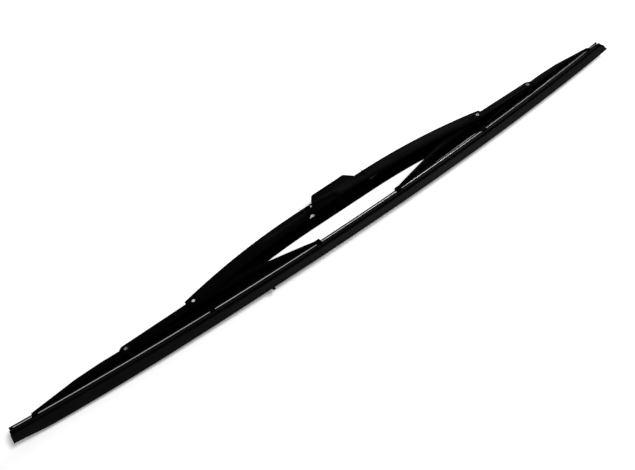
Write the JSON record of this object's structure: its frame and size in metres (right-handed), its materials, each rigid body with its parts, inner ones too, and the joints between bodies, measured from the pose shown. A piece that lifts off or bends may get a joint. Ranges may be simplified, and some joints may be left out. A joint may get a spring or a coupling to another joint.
{
  "type": "wiper blade",
  "caption": "Bowed rubber wiping element held by a tree of sprung steel levers, pulled along the glass by an arm hook in the clip on the main lever.",
  "frame": {"origin": "centre of the seat that the arm's hook lies on, on the blade's mid-plane", "axes": "+X along the blade, +Y out of the hook seat away from the rubber, +Z across the blade's width; the blade lies on its side"},
  "size_m": [0.7012, 0.069, 0.017],
  "materials": {
    "painted_steel": "satin black powder coat",
    "wiper_rubber": "matte black",
    "bright_steel": "bright",
    "liner_plastic": "matte black",
    "adapter_plastic": "fine grain, black"
  },
  "bodies": {
    "main_frame": {"main_lever": "painted_steel", "wiping_rubber": "wiper_rubber", "rail_upper": "bright_steel", "rail_lower": "bright_steel", "rivet_inner_left": "bright_steel", "rivet_inner_right": "bright_steel", "bridge_pin": "painted_steel"},
    "secondary_left": {"secondary_lever_left": "painted_steel", "liner_inner_left": "liner_plastic", "rivet_outer_left": "bright_steel"},
    "secondary_right": {"secondary_lever_right": "painted_steel", "liner_inner_right": "liner_plastic", "rivet_outer_right": "bright_steel"},
    "outer_left": {"outer_lever_left": "painted_steel", "liner_outer_left": "liner_plastic"},
    "outer_right": {"outer_lever_right": "painted_steel", "liner_outer_right": "liner_plastic"},
    "adapter": {"hook_adapter": "adapter_plastic"}
  },
  "joints": [
    {"name": "secondary_left_pivot", "type": "hinge", "parent": "main_frame", "child": "secondary_left", "pos_m": [-0.1717, -0.0304, 0], "axis": [0, 0, -1], "range_deg": [-4, 3], "stiffness_Nm_per_rad": 1.5, "deforming": ["wiping_rubber", "rail_upper", "rail_lower"]},
    {"name": "outer_left_pivot", "type": "hinge", "parent": "secondary_left", "child": "outer_left", "pos_m": [-0.2419, -0.0323, 0], "axis": [0, 0, -1], "range_deg": [-5, 5], "stiffness_Nm_per_rad": 1, "deforming": ["wiping_rubber", "rail_upper", "rail_lower"]},
    {"name": "secondary_right_pivot", "type": "hinge", "parent": "main_frame", "child": "secondary_right", "pos_m": [0.1717, -0.0304, 0], "axis": [0, 0, 1], "range_deg": [-4, 3], "stiffness_Nm_per_rad": 1.5, "deforming": ["wiping_rubber", "rail_upper", "rail_lower"]},
    {"name": "outer_right_pivot", "type": "hinge", "parent": "secondary_right", "child": "outer_right", "pos_m": [0.2419, -0.0323, 0], "axis": [0, 0, 1], "range_deg": [-5, 5], "stiffness_Nm_per_rad": 1, "deforming": ["wiping_rubber", "rail_upper", "rail_lower"]},
    {"name": "adapter_pivot", "type": "hinge", "parent": "main_frame", "child": "adapter", "pos_m": [0, -0.0151, 0], "axis": [0, 0, 1], "range_deg": [-10, 10]}
  ]
}
